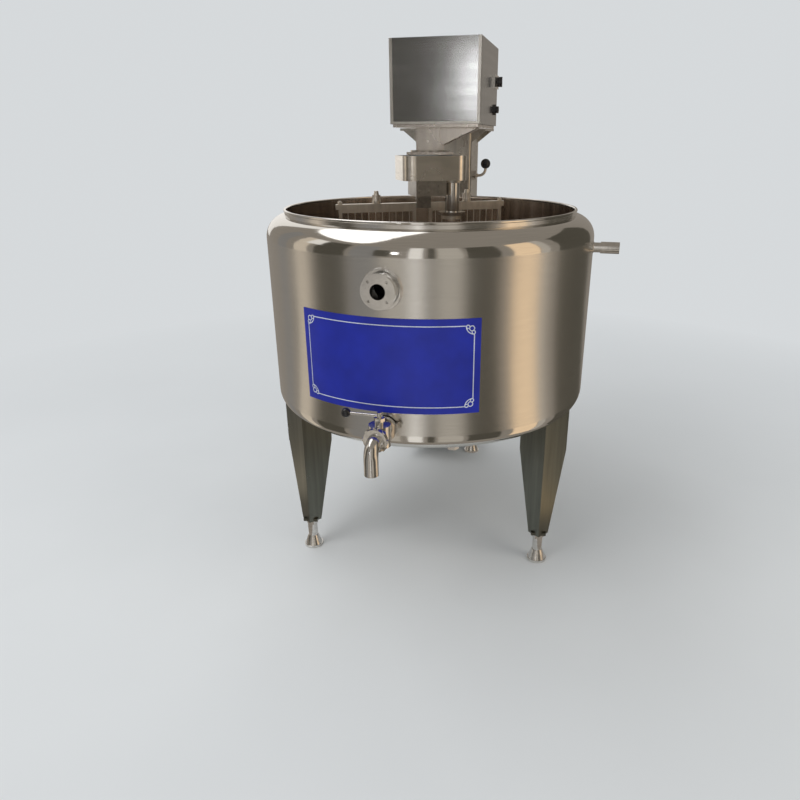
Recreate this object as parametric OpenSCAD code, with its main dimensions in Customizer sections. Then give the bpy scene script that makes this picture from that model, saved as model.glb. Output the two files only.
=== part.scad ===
// Round jacketed cheese vat with a rear column and a planetary cutting head.
// Millimetres, +Z up, front at -Y, origin under the middle of the overall box on the floor.

/* [Vessel] */
// outside diameter of the jacket shell
shell_d = 1000; // [900:10:1150]
// outside diameter of the liner at the rim
rim_d = 886; // [780:2:900]
// height of the rim above the floor
rim_z = 1110; // [1050:5:1180]
// radius of the polished shoulder
shoulder_r = 63; // [45:1:70]
// straight neck of the liner above the shoulder
neck_h = 17; // [12:1:30]
// radius of the shell's lower corner
knuckle_r = 52; // [40:1:60]
// height of the shell's underside above the floor
shell_z = 504; // [470:2:540]
// sheet thickness of the shell
shell_t = 3; // [2:0.5:5]
// sheet thickness of the liner
liner_t = 3; // [2:0.5:5]
// diameter of the rolled rim
bead_d = 8; // [6:0.5:12]
// height of the liner's floor at the front
floor_z = 558; // [550:1:566]
// fall of the liner's floor towards the front, in degrees
floor_fall = 2.5; // [1:0.5:3]

/* [Ports] */
// height of the heating port's axis
port_z = 953; // [900:1:985]
// diameter of the port flange
port_d = 90; // [80:1:110]
// bore of the heating port
port_bore = 40; // [30:1:44]
// bolt circle of the port flange
port_pcd = 68; // [62:1:74]
// threaded hole in the port flange
port_hole = 7; // [5:0.5:9]
// reach of the port's face beyond the shell
port_reach = 36; // [28:1:50]
// height of the side nozzle's axis
nozzle_z = 1002; // [960:1:1008]
// outside diameter of the nozzle pipe
nozzle_d = 29; // [24:0.5:31]
// bore of the nozzle
nozzle_bore = 24; // [16:0.5:26]
// outside diameter of the nozzle's socket
socket_d = 34; // [33:0.5:42]
// reach of the nozzle beyond the shell
nozzle_reach = 75; // [60:1:110]
// outside diameter of the jacket drain stub
drain_d = 21; // [16:0.5:28]
// length of the jacket drain stub
drain_len = 46; // [30:1:80]

/* [Outlet] */
// height of the outlet's axis
outlet_z = 578; // [574:1:590]
// bore of the outlet
outlet_bore = 32; // [28:1:34]
// wall of the outlet pipes
outlet_wall = 3; // [2:0.5:4]
// diameter of the plug in the outlet valve
plug_d = 44; // [42:0.5:50]
// wall of the valve body round its plug
valve_wall = 7; // [5:0.5:9]
// diameter of the valve stem
stem_d = 12; // [10:0.5:16]
// length of the valve lever from the stem to the ball's middle
lever_len = 92; // [70:1:120]
// diameter of the ball on the valve lever
ball_d = 26; // [20:1:34]
// bend radius of the spout
spout_bend = 32; // [28:1:40]
// height of the spout's mouth
spout_z = 498; // [480:1:515]

/* [Nameplate] */
// width of the nameplate along the shell
plate_w = 506; // [300:2:560]
// height of the nameplate
plate_h = 258; // [150:2:280]
// height of the nameplate's lower edge
plate_z = 622; // [615:1:640]
// thickness of the nameplate
plate_t = 1.5; // [1:0.1:3]

/* [Stand] */
// turn of the stand from the front, in degrees
stand_turn = 7.5; // [0:0.5:12]
// distance of the front feet from the vessel's axis
foot_r = 440; // [400:2:445]
// width of a front leg at the top
leg_top_w = 148; // [110:1:160]
// width of a front leg at the bottom
leg_foot_w = 64; // [60:1:90]
// sheet thickness of a leg
leg_t = 4; // [3:0.5:6]
// height of the leg's end above the floor
leg_z = 100; // [92:1:130]
// diameter of a levelling foot
foot_d = 62; // [50:1:80]
// diameter of a foot's threaded stem
foot_stem_d = 20; // [16:1:24]

/* [Column] */
// width of the column
column_w = 210; // [170:2:250]
// depth of the column
column_d = 160; // [130:2:200]
// wall of the column
column_t = 5; // [3:0.5:8]
// distance of the column's middle from the vessel's axis
column_r = 590; // [585:1:640]
// height of the saddle plate's top
saddle_z = 1341; // [1320:1:1400]
// width of the saddle plate
saddle_w = 320; // [280:2:340]
// height of the flare under the saddle plate
flare_h = 40; // [25:1:60]

/* [Head] */
// width of the head cover
head_w = 262; // [240:2:300]
// depth of the head cover
head_d = 298; // [280:2:340]
// height of the head cover
head_h = 220; // [200:2:260]
// sheet thickness of the head cover
head_t = 2; // [1.5:0.1:3]
// distance from the vessel's axis to the left side of the cover
head_left = 101; // [90:1:120]
// distance from the vessel's axis to the front of the cover
head_front_y = 74; // [70:1:90]
// distance of the arm's middle to the left of the vessel's axis
arm_left = 50; // [46:1:54]
// width of the arm
arm_w = 90; // [70:2:94]
// height of the arm
arm_h = 100; // [80:2:120]
// width of the square neck
neck_w = 70; // [64:1:76]
// height of the square neck
neck_len = 67; // [50:1:90]

/* [Turning gear] */
// rest angle of the turning gear from +X, in degrees
carrier_angle = 30; // [0:1:90]
// length of the gear guard
guard_l = 196; // [194:1:220]
// width of the gear guard
guard_w = 156; // [154:1:180]
// height of the gear guard
guard_h = 69; // [60:1:72]
// corner radius of the gear guard
guard_r = 34; // [20:1:40]
// gear module
gear_m = 2.5; // [2.3:0.1:2.5]
// teeth on the fixed sun gear
sun_teeth = 40; // [37:1:40]
// teeth on the planet gear
planet_teeth = 16; // [14:1:16]
// diameter of the main shaft
shaft_d = 40; // [30:1:44]
// diameter of the planet's post
post_d = 44; // [36:1:48]
// drop of the harp beam's middle below the hub block
beam_drop = 37; // [30:1:50]
// length of the harp beam
beam_l = 558; // [420:2:620]
// side of the square harp beam
beam_s = 16; // [12:1:20]
// distance of the harp beam behind the vessel's axis
beam_off = 95; // [88:1:110]
// height of the harps' lower bar
harp_z = 615; // [605:1:700]
// distance between the harp wires
wire_gap = 22; // [15:1:40]
// diameter of a harp wire
wire_d = 2.4; // [1.5:0.1:4]
// distance of each harp knob from the beam's middle
knob_x = 150; // [120:1:180]
// width of the stirring paddle
paddle_w = 120; // [80:2:130]
// height of the stirring paddle's lower edge
paddle_z = 640; // [625:1:700]

/* [Fits] */
// running clearance on the radius between turning pieces
run = 0.05; // [0.02:0.01:0.1]
// clearance between pieces that only pass each other
gap = 2; // [1:0.5:3]

/* [Hidden] */
$fn = 96;

shell_r = shell_d / 2;
rim_r = rim_d / 2;
shoulder_z = rim_z - neck_h - shoulder_r;
nozzle_x = shell_r + nozzle_reach;

outlet_d = outlet_bore + 2 * outlet_wall;
ferrule_d = outlet_d + 18;
ferrule_t = 5;
gasket_t = 2;
stub_y = shell_r + 10;
barrel_r = plug_d / 2 + valve_wall;
valve_y = stub_y + gasket_t + ferrule_t + 4 + barrel_r;
barrel_h = outlet_bore + 28;
union_y = valve_y + barrel_r;
union_t = 14;
spout_y = union_y + union_t + spout_bend;
stem_top = outlet_z + barrel_h / 2 + 34;
lever_z = stem_top - 10;

column_x = -column_r * sin(stand_turn);
column_y = column_r * cos(stand_turn);
base_w = column_w + 90;
base_d = column_d + 60;
base_t = 12;
saddle_t = 8;
saddle_d = column_d + 40;
tie_w = 140;
tie_h = 60;
tie_l = 60;
tie_low = shell_z + 90;
tie_high = shoulder_z - 130;
seat_gap = 0.3;
foot_rear_x = base_w / 2 - 28;

// place of the vessel's axis in the part's frame
axis_x = -(nozzle_x - shell_r) / 2;
axis_y = (spout_y + outlet_d / 2 - column_y - base_d / 2) / 2;

head_z = saddle_z;
base_plate_t = 8;
head_top = head_z + head_h;
head_x = -head_left;
head_y = -head_front_y;
head_back = head_y + head_d;
neck_top = head_z - base_plate_t;
flange_z = neck_top - neck_len;
neck_t = 5;
gusset_l = head_w - head_left - neck_w / 2 - 20;
flange_t = 8;
flange_w = 116;
arm_start = 62;
arm_t = 5;
gearbox_w = 112;
gearbox_h = 110;
worm_x = 46;
worm_z = head_z + 75;
worm_d = 50;
motor_d = 104;
motor_l = 105;
motor_x = 70;
motor_y = gearbox_w / 2 + 6;
motor_flange_d = motor_d + 12;
motor_flange_t = 10;
motor_cap_d = motor_d + 8;
motor_cap_l = 22;

guard_t = 3;
guard_top = flange_z - flange_t - gap;
guard_z = guard_top - guard_h;
plate_carrier_t = 8;
housing_flange_t = 10;
housing_d = 70;
housing_flange_d = 134;
housing_z = guard_z + plate_carrier_t + 4;
gear_w = 18;
sun_z = housing_z + 6;
planet_e = gear_m * (sun_teeth + planet_teeth) / 2;
planet_phase = carrier_angle + (carrier_angle * sun_teeth - 180) / planet_teeth + 180;
hub_h = 45;
hub_z = guard_z - hub_h;
hub_l = 84;
hub_w = 100;
journal_d = 30;
bush_d = 76;
bush_t = 8;
post_top = guard_z - bush_t - gap;
coupling_t = 10;
coupling_z = hub_z - 60;
paddle_hub_t = 12;
paddle_hub_d = 60;
paddle_rod_d = 24;
paddle_t = 6;
paddle_len = coupling_z - paddle_hub_t - paddle_z;
blade_pitch = paddle_len * 0.325;
blade_h = paddle_len * 0.21;
beam_z = hub_z - beam_drop;
coupling_d = 84;
stud_d = 8;
rail_s = 10;
rail_z = beam_z - beam_s / 2 - rail_s;
harp_in = 22;
harp_out = beam_l / 2 - 8;
hanger_t = 10;
lock_rod_d = 10;
lock_bend = 24;
lock_ball_d = 36;
lock_z = saddle_z - 165;

color_steel = [0.78, 0.79, 0.78];
color_mirror = [0.86, 0.87, 0.88];
color_dark = [0.45, 0.47, 0.45];
color_black = [0.06, 0.06, 0.06];
color_blue = [0.08, 0.2, 0.62];

// puts children, drawn about the vessel's axis, into the part's frame
module on_axis() translate([axis_x, axis_y, 0]) children();

// puts children on the turning gear at its rest angle
module on_carrier() on_axis() rotate([0, 0, carrier_angle]) children();

// puts children on the column's axis
module on_column() on_axis() translate([column_x, column_y, 0]) children();

// a cylinder along -Y that starts at depth y
module front_rod(d, y, len) translate([0, -y, 0]) rotate([90, 0, 0]) cylinder(d = d, h = len);

// a cylinder along +X that starts at x
module side_rod(d, x, len) translate([x, 0, 0]) rotate([0, 90, 0]) cylinder(d = d, h = len);

// a box from its corner to its opposite corner
module span(a, b) translate(a) cube(b - a);

// a rectangle with round corners, centred
module round_rect(l, w, r) {
    square([l - 2 * r, w], center = true);
    square([l, w - 2 * r], center = true);
    for (sx = [-1, 1], sy = [-1, 1]) {
        translate([sx * (l / 2 - r), sy * (w / 2 - r)]) circle(r);
    }
}

// a hexagon head or nut across flats s
module hex(s, h) cylinder(d = s / cos(30), h = h, $fn = 6);

// half of the shell's section, moved inwards by t
module shell_half(t) {
    translate([0, shell_z + t]) square([shell_r - knuckle_r, shoulder_z - shell_z - 2 * t]);
    translate([0, shell_z + knuckle_r]) square([shell_r - t, shoulder_z - shell_z - knuckle_r]);
    translate([0, shoulder_z - 1]) square([shell_r - shoulder_r, shoulder_r - t + 1]);
    translate([shell_r - shoulder_r, shoulder_z]) circle(shoulder_r - t);
    translate([shell_r - knuckle_r, shell_z + knuckle_r]) circle(knuckle_r - t);
}

module jacket_shell() color(color_steel) on_axis() difference() {
    rotate_extrude() intersection() {
        difference() {
            shell_half(0);
            shell_half(shell_t);
            translate([0, shoulder_z]) square([rim_r, shoulder_r + 1]);
        }
        translate([0, shell_z]) square([shell_r, rim_z - shell_z]);
    }
    translate([0, 0, port_z]) front_rod(port_bore + 6, shell_r - 30, 60);
    translate([0, 0, outlet_z]) front_rod(outlet_d, shell_r - 30, 60);
    translate([0, 0, nozzle_z]) side_rod(nozzle_bore, shell_r - 30, 60);
    drain_at() cylinder(d = drain_d - 6, h = shell_t + 2);
}

// the space above the liner's sloping floor, raised by t
module above_floor(t) translate([0, -rim_r, floor_z + t]) rotate([floor_fall, 0, 0])
    translate([-rim_r - 50, -100, 0]) cube([2 * rim_r + 100, 2 * rim_r + 300, rim_z]);

module liner() color(color_mirror) on_axis() difference() {
    union() {
        intersection() {
            translate([0, 0, floor_z - 60])
                cylinder(r = rim_r, h = rim_z - bead_d / 2 - floor_z + 60);
            above_floor(-liner_t);
        }
        translate([0, 0, rim_z - bead_d / 2]) rotate_extrude()
            translate([rim_r - liner_t / 2, 0]) circle(d = bead_d);
    }
    intersection() {
        translate([0, 0, floor_z - 60])
            cylinder(r = rim_r - liner_t, h = rim_z - bead_d / 2 - floor_z + 60);
        above_floor(0);
    }
    translate([0, 0, outlet_z]) front_rod(outlet_d, rim_r - 60, 100);
}

module port_flange() color(color_steel) on_axis() translate([0, 0, port_z]) difference() {
    union() {
        front_rod(port_d + 12, shell_r - 12, 20);
        front_rod(port_d - 8, shell_r - 12, port_reach);
        front_rod(port_d, shell_r + port_reach - 16, 16);
    }
    translate([0, 0, -port_d]) cylinder(r = shell_r, h = 2 * port_d);
    front_rod(port_bore, shell_r - 20, port_reach + 30);
    for (a = [45 : 90 : 315]) {
        rotate([0, a, 0]) translate([port_pcd / 2, 0, 0])
            front_rod(port_hole, shell_r + port_reach - 20, 30);
    }
}

module side_nozzle() color(color_steel) on_axis() translate([0, 0, nozzle_z]) difference() {
    side_rod(nozzle_d, shell_r - 10, nozzle_reach);
    translate([0, 0, -nozzle_d]) cylinder(r = shell_r, h = 2 * nozzle_d);
    side_rod(nozzle_bore, shell_r - 30, nozzle_reach + 60);
}

module nozzle_socket() color(color_steel) on_axis() translate([0, 0, nozzle_z]) difference() {
    side_rod(socket_d, nozzle_x - 54, 54);
    side_rod(nozzle_d, nozzle_x - 60, 50);
    side_rod(nozzle_bore, nozzle_x - 20, 40);
}

// the drain's place under the shell
module drain_at() translate([150, -330, shell_z - 0.5]) children();

module drain_stub() color(color_steel) on_axis() drain_at() translate([0, 0, 0.5 - drain_len]) difference() {
    cylinder(d = drain_d, h = drain_len);
    translate([0, 0, -1]) cylinder(d = drain_d - 6, h = drain_len + 2);
}

module drain_cap() color(color_steel) on_axis() drain_at() translate([0, 0, -drain_len - 3.5]) difference() {
    hex(drain_d + 11, 18);
    translate([0, 0, 4]) cylinder(d = drain_d, h = 20);
}

module nameplate() color(color_blue) on_axis() rotate([0, 0, -90 - plate_w / shell_r * 90 / PI])
    rotate_extrude(angle = plate_w / shell_r * 180 / PI)
        translate([shell_r + seat_gap / 3, plate_z]) square([plate_t, plate_h]);

module outlet_stub() color(color_steel) on_axis() translate([0, 0, outlet_z]) difference() {
    union() {
        front_rod(outlet_d, rim_r - 40, stub_y - rim_r + 40);
        front_rod(ferrule_d, stub_y - ferrule_t, ferrule_t);
    }
    translate([0, 0, -outlet_d]) cylinder(r = rim_r - liner_t, h = 2 * outlet_d);
    front_rod(outlet_bore, rim_r - 50, shell_r);
}

module outlet_gasket() color(color_black) on_axis() translate([0, 0, outlet_z]) difference() {
    front_rod(ferrule_d, stub_y, gasket_t);
    front_rod(outlet_bore, stub_y - 1, gasket_t + 2);
}

module outlet_clamp() color(color_steel) on_axis() translate([0, 0, outlet_z]) {
    difference() {
        front_rod(ferrule_d + 12, stub_y - ferrule_t, 2 * ferrule_t + gasket_t);
        front_rod(ferrule_d, stub_y - ferrule_t - 1, 2 * ferrule_t + gasket_t + 2);
    }
    for (a = [-20, 160]) {
        rotate([0, a, 0]) difference() {
            span(
                [ferrule_d / 2 + 3, -stub_y - ferrule_t - gasket_t, -7],
                [ferrule_d / 2 + 20, -stub_y + ferrule_t, 7]
            );
            translate([ferrule_d / 2 + 13, -stub_y - gasket_t / 2, -10]) cylinder(d = 6, h = 20);
        }
    }
}

module valve_body() color(color_steel) on_axis() translate([0, 0, outlet_z]) difference() {
    union() {
        front_rod(ferrule_d, stub_y + gasket_t, ferrule_t);
        front_rod(outlet_d + 4, stub_y + gasket_t, union_y - stub_y - gasket_t + 8);
        translate([0, -valve_y, -barrel_h / 2]) cylinder(r = barrel_r, h = barrel_h);
        translate([0, -valve_y, barrel_h / 2]) cylinder(d = stem_d + 14, h = 10);
    }
    front_rod(outlet_bore, stub_y - 1, union_y);
    translate([0, -valve_y, -barrel_h / 2 + 6]) cylinder(r = plug_d / 2 + run, h = barrel_h - 12);
    translate([0, -valve_y, 0]) cylinder(r = stem_d / 2 + run, h = barrel_h);
}

module gland_nut() color(color_steel) on_axis()
    translate([0, -valve_y, outlet_z + barrel_h / 2 + 10]) difference() {
        hex(stem_d + 14, 9);
        translate([0, 0, -1]) cylinder(r = stem_d / 2 + run, h = 20);
    }

module valve_plug() color(color_steel) on_axis() translate([0, -valve_y, outlet_z]) difference() {
    union() {
        translate([0, 0, -barrel_h / 2 + 6 + gap / 4]) cylinder(d = plug_d, h = barrel_h - 12 - gap / 2);
        cylinder(d = stem_d, h = stem_top - outlet_z);
    }
    translate([-plug_d, 0, 0]) rotate([0, 90, 0]) cylinder(d = outlet_bore, h = 2 * plug_d);
    translate([0, 0, lever_z - outlet_z]) rotate([0, 90, 0]) cylinder(d = 7, h = 40, center = true);
}

module valve_lever() color(color_steel) on_axis() translate([0, -valve_y, lever_z])
    side_rod(7, -lever_len + ball_d / 2 - 8, lever_len - ball_d / 2 + 16);

module lever_ball() color(color_black) on_axis() translate([-lever_len, -valve_y, lever_z]) difference() {
    sphere(d = ball_d);
    translate([ball_d / 2 - 8, 0, 0]) rotate([0, 90, 0]) cylinder(r = 3.5 + run, h = ball_d);
}

module union_ring() color(color_steel) on_axis() translate([0, 0, outlet_z]) difference() {
    union() {
        front_rod(outlet_d + 26, union_y, union_t);
        for (a = [0 : 45 : 315]) {
            rotate([0, a, 0]) span(
                [outlet_d / 2 + 10, -union_y - union_t + 2, -4],
                [outlet_d / 2 + 16, -union_y - 2, 4]
            );
        }
    }
    front_rod(outlet_d + 4, union_y - 1, 9);
    front_rod(outlet_d, union_y, union_t + 1);
}

// a quarter bend from -Y down to -Z, swept with its children
module spout_arc() translate([0, 0, -spout_bend]) rotate([180, -90, 0]) rotate_extrude(angle = 90)
    translate([spout_bend, 0]) children();

module spout() color(color_steel) on_axis() translate([0, -spout_y + spout_bend, outlet_z]) difference() {
    union() {
        front_rod(outlet_d, -union_t + 8, union_t - 8);
        spout_arc() circle(d = outlet_d);
        translate([0, -spout_bend, spout_z - outlet_z])
            cylinder(d = outlet_d, h = outlet_z - spout_z - spout_bend);
    }
    front_rod(outlet_bore, -union_t, union_t);
    spout_arc() circle(d = outlet_bore);
    translate([0, -spout_bend, spout_z - outlet_z - 1])
        cylinder(d = outlet_bore, h = outlet_z - spout_z - spout_bend + 1);
}

// one half of a folded leg, a tapered sheet that runs back from the front fold
module leg_side(s) rotate([0, 0, s * 45]) mirror([s < 0 ? 1 : 0, 0, 0]) rotate([90, 0, 0])
    translate([0, 0, -leg_t]) linear_extrude(leg_t) polygon([
        [0, leg_z], [leg_foot_w * 0.7, leg_z],
        [leg_top_w * 0.7, shell_z - 120], [leg_top_w * 0.7, shell_z + knuckle_r], [0, shell_z + knuckle_r]
    ]);

// a folded leg with its foot plate, standing over a foot and cut to the shell's lower corner
module leg_at(a) on_axis() difference() {
    rotate([0, 0, a]) translate([0, -foot_r, 0]) rotate([0, 0, stand_turn - a]) difference() {
        union() {
            translate([0, -30, 0]) {
                leg_side(1);
                leg_side(-1);
            }
            span([-24, -20, leg_z], [24, 24, leg_z + 10]);
        }
        translate([0, 0, leg_z - 1]) cylinder(r = foot_stem_d / 2 + run, h = 40);
    }
    rotate_extrude($fn = 720) {
        translate([0, shell_z - seat_gap]) square([shell_r - knuckle_r, 2 * knuckle_r]);
        translate([shell_r - knuckle_r, shell_z + knuckle_r]) circle(knuckle_r + seat_gap, $fn = 360);
    }
}

module leg_left() color(color_dark) leg_at(stand_turn - 60);

module leg_right() color(color_dark) leg_at(stand_turn + 60);

// a bell foot with its sleeve, lock nut and stem
module foot_at() color(color_steel) {
    cylinder(d = foot_d, h = 8);
    translate([0, 0, 8]) cylinder(d1 = foot_d - 4, d2 = foot_stem_d + 14, h = 32);
    translate([0, 0, 40]) cylinder(d = foot_stem_d + 12, h = leg_z - 54);
    translate([0, 0, leg_z - 14]) hex(foot_stem_d + 14, 13);
    translate([0, 0, leg_z - 2]) cylinder(d = foot_stem_d, h = 22);
}

module front_foot(a) on_axis() rotate([0, 0, a]) translate([0, -foot_r, 0]) foot_at();

module foot_left() front_foot(stand_turn - 60);

module foot_right() front_foot(stand_turn + 60);

module foot_rear_left() on_column() translate([-foot_rear_x, 0, 0]) foot_at();

module foot_rear_right() on_column() translate([foot_rear_x, 0, 0]) foot_at();

module column_base() color(color_dark) on_column() difference() {
    span([-base_w / 2, -base_d / 2, leg_z], [base_w / 2, base_d / 2, leg_z + base_t]);
    for (s = [-1, 1]) {
        translate([s * foot_rear_x, 0, leg_z - 1]) cylinder(r = foot_stem_d / 2 + run, h = base_t + 2);
    }
}

module column() color(color_steel) on_column() translate([0, 0, leg_z + base_t])
    linear_extrude(saddle_z - saddle_t - leg_z - base_t) difference() {
        round_rect(column_w, column_d, 12);
        round_rect(column_w - 2 * column_t, column_d - 2 * column_t, 12 - column_t);
    }

module column_ties() color(color_steel) on_axis() difference() {
    for (z = [tie_low, tie_high]) {
        span(
            [column_x - tie_w / 2, column_y - column_d / 2 - tie_l, z],
            [column_x + tie_w / 2, column_y - column_d / 2, z + tie_h]
        );
    }
    translate([0, 0, shell_z]) cylinder(r = shell_r + seat_gap, h = rim_z - shell_z, $fn = 720);
}

module saddle() color(color_steel) on_column() {
    span([-saddle_w / 2, -saddle_d / 2, saddle_z - saddle_t], [saddle_w / 2, saddle_d / 2, saddle_z]);
    for (s = [0, 1], y = [-column_d / 2 + 14, column_d / 2 - 14]) {
        mirror([s, 0, 0]) translate([column_w / 2, y + 3, saddle_z - saddle_t]) rotate([90, 0, 0])
            linear_extrude(6) polygon([[0, 0], [(saddle_w - column_w) / 2 - 4, 0], [0, -flare_h]]);
    }
}

// the arm's box, made smaller by t on every side
module arm_box(t) span(
    [-arm_left - arm_w / 2 + t, arm_start + t, saddle_z + t],
    [-arm_left + arm_w / 2 - t, column_y + column_d / 2 - t, saddle_z + arm_h - t]
);

module arm() color(color_steel) on_axis() difference() {
    arm_box(0);
    arm_box(arm_t);
}

module head_base() color(color_dark) on_axis() difference() {
    span([head_x + 6, head_y + 6, neck_top], [head_x + head_w - 6, head_back - 4, head_z]);
    translate([0, 0, neck_top - 1]) cylinder(d = shaft_d + 8, h = base_plate_t + 2);
}

module head_cover() color(color_mirror) on_axis() difference() {
    span([head_x, head_y, head_z], [head_x + head_w, head_back, head_top]);
    span(
        [head_x + head_t, head_y - 1, head_z - 1],
        [head_x + head_w - head_t, head_back + 1, head_top - head_t]
    );
}

// the cover's front, with a folded edge along its sides and its lower edge
module head_front() color(color_mirror) on_axis() difference() {
    span([head_x + head_t, head_y + 1, head_z], [head_x + head_w - head_t, head_y + 16, head_top - head_t]);
    span([head_x + 10, head_y - 1, head_z + 7], [head_x + head_w - 10, head_y + 2.5, head_top - 6]);
    span(
        [head_x + 2 * head_t, head_y + 4.5, head_z + head_t],
        [head_x + head_w - 2 * head_t, head_y + 20, head_top - 2 * head_t]
    );
}

module head_rear() color(color_mirror) on_axis() difference() {
    span(
        [head_x + head_t, head_back - 4, head_z],
        [head_x + head_w - head_t, head_back - 4 + head_t, head_top - head_t]
    );
    arm_box(0);
}

module panel_screws() color(color_steel) on_axis()
    for (x = [head_x + 5.5, head_x + head_w - 5.5], z = [head_z + 24, head_top - 24]) {
        translate([x, head_y + 1, z]) rotate([90, 0, 0]) cylinder(d = 6, h = 1);
    }

module gearbox() color(color_dark) on_axis() difference() {
    union() {
        translate([-gearbox_w / 2, -gearbox_w / 2, head_z]) cube([gearbox_w, gearbox_w, gearbox_h]);
        translate([worm_x, motor_y - gearbox_w, worm_z]) rotate([-90, 0, 0])
            cylinder(d = worm_d, h = gearbox_w);
        translate([0, 0, head_z + gearbox_h]) cylinder(d = shaft_d * 2, h = flange_t);
    }
    translate([0, 0, head_z - 1]) cylinder(r = shaft_d / 2 + run, h = gearbox_h + flange_t + 2);
}

module motor() color(color_dark) on_axis() translate([motor_x, motor_y, worm_z]) rotate([-90, 0, 0]) {
    cylinder(d = motor_flange_d, h = motor_flange_t);
    translate([0, 0, motor_flange_t]) cylinder(d = motor_d, h = motor_l);
    for (a = [0 : 20 : 340]) {
        rotate([0, 0, a]) span(
            [motor_d / 2 - 2, -1.5, motor_flange_t],
            [motor_flange_d / 2 - 1, 1.5, motor_l]
        );
    }
    translate([0, 0, motor_flange_t + motor_l]) cylinder(d = motor_cap_d, h = motor_cap_l);
    span(
        [-motor_d * 0.29, -motor_d * 0.67, motor_l * 0.24],
        [motor_d * 0.29, -motor_d * 0.46, motor_l * 0.81]
    );
}

// places of the neck's bolts, four along each side of its flange
module neck_bolt_places() for (a = [0 : 90 : 270], t = [-33, -11, 11, 33]) {
    rotate([0, 0, a]) translate([t, 47, 0]) children();
}

module neck() color(color_mirror) on_axis() difference() {
    union() {
        translate([0, 0, flange_z]) linear_extrude(neck_top - flange_z) square(neck_w, center = true);
        translate([0, 0, flange_z - flange_t]) linear_extrude(flange_t) square(flange_w, center = true);
    }
    translate([0, 0, flange_z]) linear_extrude(neck_top) square(neck_w - 2 * neck_t, center = true);
    translate([0, 0, flange_z - flange_t - 1]) cylinder(d = shaft_d + 4, h = 20);
    translate([0, 0, flange_z - flange_t - 1]) neck_bolt_places() cylinder(d = 6, h = 20);
}

module neck_bolts() color(color_steel) on_axis() translate([0, 0, flange_z]) neck_bolt_places() {
    hex(10, 5);
    translate([0, 0, -flange_t - housing_flange_t]) cylinder(d = 6, h = flange_t + housing_flange_t);
}

module neck_gussets() color(color_mirror) on_axis() for (y = [-neck_w / 2 + 12, neck_w / 2 - 6]) {
    translate([neck_w / 2, y, neck_top]) rotate([90, 0, 0]) linear_extrude(6)
        polygon([[0, 0], [gusset_l, 0], [gusset_l, -4], [0, -50]]);
}

module bearing_housing() color(color_dark) on_axis() difference() {
    union() {
        translate([0, 0, housing_z]) cylinder(d = housing_d, h = flange_z - flange_t - housing_z);
        translate([0, 0, flange_z - flange_t - housing_flange_t])
            cylinder(d = housing_flange_d, h = housing_flange_t);
    }
    translate([0, 0, housing_z - 1]) cylinder(r = shaft_d / 2 + run, h = 100);
    translate([0, 0, housing_z - 1]) neck_bolt_places() cylinder(d = 6, h = 100);
}

function rad(t) = t * PI / 180;
function deg(t) = t * 180 / PI;
// angle of an involute where it has rolled by t degrees
function roll(t) = t - atan(rad(t));
// roll that reaches radius r from base radius b
function roll_at(r, b) = r <= b ? 0 : deg(sqrt(pow(r / b, 2) - 1));
function polar(r, a) = [r * cos(a), r * sin(a)];

// an involute spur gear's outline, with a little backlash
module gear_outline(m, z, backlash = 0.4) {
    rp = m * z / 2;
    base = rp * cos(20);
    tip = rp + 0.9 * m;
    root = rp - 1.3 * m;
    half = 90 / z - deg(backlash / 2 / rp) + roll(roll_at(rp, base));
    steps = 5;
    t0 = roll_at(root, base);
    t1 = roll_at(tip, base);
    flank = [for (i = [0 : steps]) t0 + (t1 - t0) * i / steps];
    polygon([
        for (k = [0 : z - 1]) each concat(
            root < base ? [polar(root, k * 360 / z - half)] : [],
            [for (t = flank) polar(base * sqrt(1 + pow(rad(t), 2)), k * 360 / z - half + roll(t))],
            [for (i = [0 : steps]) let (t = flank[steps - i])
                polar(base * sqrt(1 + pow(rad(t), 2)), k * 360 / z + half - roll(t))],
            root < base ? [polar(root, k * 360 / z + half)] : []
        )
    ]);
}

module sun_gear() color(color_dark) on_axis() translate([0, 0, sun_z]) linear_extrude(gear_w) difference() {
    gear_outline(gear_m, sun_teeth);
    circle(d = housing_d);
}

// the switch's middle on the cover's right side
module switch_at() on_axis() translate([head_x + head_w, head_back - 46, head_z + 124]) children();

module switch_plate() color(color_steel) switch_at() difference() {
    span([0, -40, -19], [6, 34, 19]);
    rotate([0, 90, 0]) cylinder(r = 5 + run, h = 20);
}

module switch_knob() color(color_black) switch_at() rotate([0, 90, 0]) {
    translate([0, 0, 1]) cylinder(d = 10, h = 7);
    translate([0, 0, 7]) cylinder(d = 28, h = 6);
    translate([0, 0, 13]) cylinder(d1 = 24, d2 = 20, h = 7);
    span([-14, -4, 13], [14, 4, 22]);
}

module cable_gland() color(color_black) on_axis()
    translate([head_x + head_w, head_back - 50, head_z + 46]) rotate([0, 90, 0]) difference() {
        union() {
            hex(26, 6);
            cylinder(d = 20, h = 14);
        }
        translate([0, 0, 4]) cylinder(d = 11, h = 20);
    }

// the lock lever's axis on the column's right side
module lock_at() on_column() translate([column_w / 2, -30, lock_z]) children();

module lock_boss() color(color_steel) lock_at() difference() {
    rotate([0, 90, 0]) cylinder(d = 34, h = 14);
    rotate([0, 90, 0]) translate([0, 0, 3]) cylinder(r = 7 + run, h = 30);
}

module lock_lever() color(color_steel) lock_at() {
    side_rod(14, 4, 16);
    side_rod(lock_rod_d, 19, 5);
    translate([24, 0, lock_bend]) rotate([90, 90, 0]) rotate_extrude(angle = 90)
        translate([lock_bend, 0]) circle(d = lock_rod_d);
    translate([24 + lock_bend, 0, lock_bend]) cylinder(d = lock_rod_d, h = 10);
}

module lock_ball() color(color_black) lock_at() translate([24 + lock_bend, 0, lock_bend]) difference() {
    translate([0, 0, lock_ball_d / 2]) sphere(d = lock_ball_d);
    cylinder(d = lock_rod_d, h = 10);
}

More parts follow.
